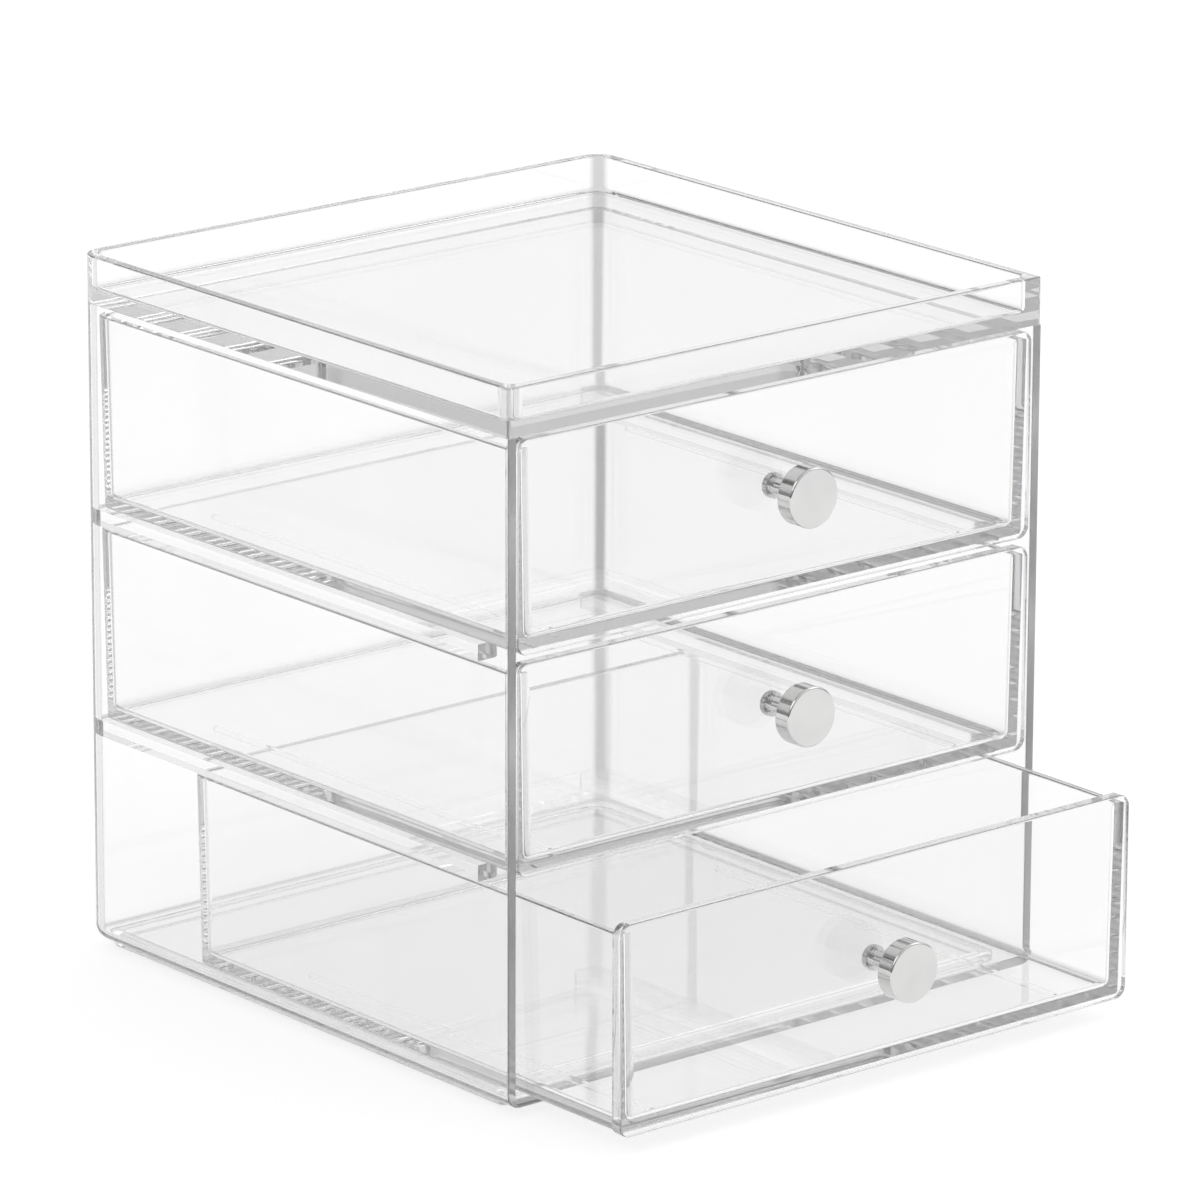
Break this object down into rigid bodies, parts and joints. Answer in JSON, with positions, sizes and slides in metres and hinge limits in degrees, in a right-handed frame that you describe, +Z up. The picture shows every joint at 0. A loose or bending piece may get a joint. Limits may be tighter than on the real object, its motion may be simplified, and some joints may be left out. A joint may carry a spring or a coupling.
{
  "type": "tiered organizer",
  "caption": "Clear plastic vanity box with stacked pull-out drawers, bright metal knobs and a rimmed tray top for cosmetics and jewellery.",
  "frame": {"origin": "middle of the case's footprint, on the surface that the foot ring stands on", "axes": "+Z up, the drawers open towards -Y, +X to the right of a person in front of the drawers"},
  "size_m": [0.165, 0.2147, 0.1768],
  "materials": {
    "clear_plastic": "clear gloss",
    "plated_metal": "bright plated",
    "screw_steel": "plain steel"
  },
  "bodies": {
    "case": {"case_shell": "clear_plastic", "top_tray": "clear_plastic"},
    "bottom_drawer": {"drawer_bottom": "clear_plastic", "knob_bottom": "plated_metal", "knob_screw_bottom": "screw_steel"},
    "middle_drawer": {"drawer_middle": "clear_plastic", "knob_middle": "plated_metal", "knob_screw_middle": "screw_steel"},
    "top_drawer": {"drawer_top": "clear_plastic", "knob_top": "plated_metal", "knob_screw_top": "screw_steel"}
  },
  "joints": [
    {"name": "bottom_drawer_slide", "type": "slide", "parent": "case", "child": "bottom_drawer", "axis": [0, -1, 0], "range_m": [-0.0373, 0.0827]},
    {"name": "middle_drawer_slide", "type": "slide", "parent": "case", "child": "middle_drawer", "axis": [0, -1, 0], "range_m": [0, 0.12]},
    {"name": "top_drawer_slide", "type": "slide", "parent": "case", "child": "top_drawer", "axis": [0, -1, 0], "range_m": [0, 0.12]}
  ]
}
